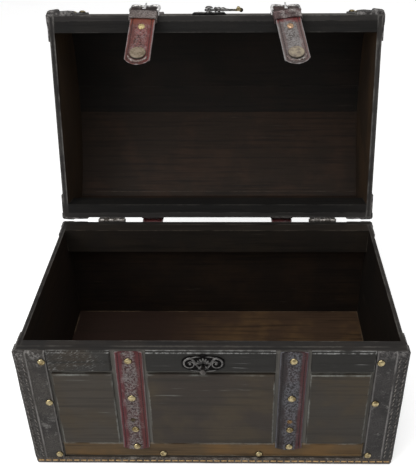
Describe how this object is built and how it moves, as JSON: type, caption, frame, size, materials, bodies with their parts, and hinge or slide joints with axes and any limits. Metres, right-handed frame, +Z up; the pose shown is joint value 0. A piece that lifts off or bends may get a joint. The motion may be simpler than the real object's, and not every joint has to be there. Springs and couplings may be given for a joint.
{
  "type": "treasure chest box",
  "caption": "Wooden treasure chest with a vaulted hinged lid, panelled front, leather corner bands, buckled straps, domed nails and a hook latch.",
  "frame": {"origin": "middle of the foot, on the surface that the chest stands on", "axes": "+X to the right along the front, +Y from the front to the back, +Z up"},
  "size_m": [0.2932, 0.3072, 0.3069],
  "materials": {
    "dark_wood": "worn dark stain over straight grain",
    "inner_wood": "thin brown stain",
    "black_leather": "grained, rubbed grey on its edges",
    "red_leather": "red-brown, rubbed grey along the middle",
    "brass": "aged, domed",
    "antique_metal": "blackened casting with rubbed bright edges",
    "hinge_steel": "dull nickel plate"
  },
  "bodies": {
    "base": {"base_back_board": "dark_wood", "base_back_inner_rail": "dark_wood", "base_floor": "inner_wood", "base_front_board": "dark_wood", "base_front_inner_rail": "dark_wood", "base_left_board": "dark_wood", "base_nails": "brass", "base_right_board": "dark_wood", "catch_pin": "antique_metal", "corner_band_back_left": "black_leather", "corner_band_back_right": "black_leather", "corner_band_front_left": "black_leather", "corner_band_front_right": "black_leather", "floor_batten_centre": "inner_wood", "floor_batten_left": "inner_wood", "floor_batten_right": "inner_wood", "foot_binding": "black_leather", "front_bottom_rail": "dark_wood", "front_panel_centre": "dark_wood", "front_panel_left": "dark_wood", "front_panel_right": "dark_wood", "front_strap_left": "red_leather", "front_strap_right": "red_leather", "front_top_rails": "dark_wood", "hinge_base_leaf_left": "hinge_steel", "hinge_base_leaf_right": "hinge_steel", "hinge_pins": "hinge_steel", "lock_plate": "antique_metal", "rear_strap_left": "red_leather", "rear_strap_right": "red_leather", "strap_studs": "brass"},
    "lid": {"buckle_left": "antique_metal", "buckle_right": "antique_metal", "hinge_lid_leaf_left": "hinge_steel", "hinge_lid_leaf_right": "hinge_steel", "latch_plate": "antique_metal", "lid_back_board": "dark_wood", "lid_back_rail": "dark_wood", "lid_back_stave": "dark_wood", "lid_edging_left": "black_leather", "lid_edging_right": "black_leather", "lid_end_left": "dark_wood", "lid_end_right": "dark_wood", "lid_front_board": "dark_wood", "lid_front_rail": "dark_wood", "lid_front_stave": "dark_wood", "lid_nails": "brass", "lid_ridge_stave": "dark_wood", "lid_strap_left": "red_leather", "lid_strap_right": "red_leather"},
    "latch_hook": {"latch_hook": "antique_metal"},
    "tail_root_left": {"tail_root_left": "red_leather", "tail_keeper_left": "red_leather"},
    "tail_end_left": {"tail_end_left": "red_leather"},
    "prong_left": {"prong_left": "antique_metal"},
    "tail_root_right": {"tail_root_right": "red_leather", "tail_keeper_right": "red_leather"},
    "tail_end_right": {"tail_end_right": "red_leather"},
    "prong_right": {"prong_right": "antique_metal"}
  },
  "joints": [
    {"name": "lid_swing", "type": "hinge", "parent": "base", "child": "lid", "pos_m": [0, 0.09328, 0.1209], "axis": [1, 0, 0], "range_deg": [0, 104.3]},
    {"name": "latch_turn", "type": "hinge", "parent": "lid", "child": "latch_hook", "pos_m": [-0.0055, 0.14812, 0.30205], "axis": [0, -0.247, -0.969], "range_deg": [0, 90]},
    {"name": "tail_fold_left", "type": "hinge", "parent": "lid", "child": "tail_root_left", "pos_m": [-0.061, 0.1409, 0.30409], "axis": [1, 0, 0], "range_deg": [-41.6, 0]},
    {"name": "tail_flex_left", "type": "hinge", "parent": "tail_root_left", "child": "tail_end_left", "pos_m": [-0.061, 0.12027, 0.29184], "axis": [-1, 0, 0], "range_deg": [0, 75]},
    {"name": "prong_swing_left", "type": "hinge", "parent": "lid", "child": "prong_left", "pos_m": [-0.061, 0.1409, 0.30409], "axis": [1, 0, 0], "range_deg": [0, 70]},
    {"name": "tail_fold_right", "type": "hinge", "parent": "lid", "child": "tail_root_right", "pos_m": [0.061, 0.1409, 0.30409], "axis": [1, 0, 0], "range_deg": [-41.6, 0]},
    {"name": "tail_flex_right", "type": "hinge", "parent": "tail_root_right", "child": "tail_end_right", "pos_m": [0.061, 0.12027, 0.29184], "axis": [-1, 0, 0], "range_deg": [0, 75]},
    {"name": "prong_swing_right", "type": "hinge", "parent": "lid", "child": "prong_right", "pos_m": [0.061, 0.1409, 0.30409], "axis": [1, 0, 0], "range_deg": [0, 70]}
  ],
  "couplings": [
    {"joint": "tail_fold_left", "follows": "lid_swing", "ratio": -0.39789},
    {"joint": "tail_fold_right", "follows": "lid_swing", "ratio": -0.39789}
  ]
}
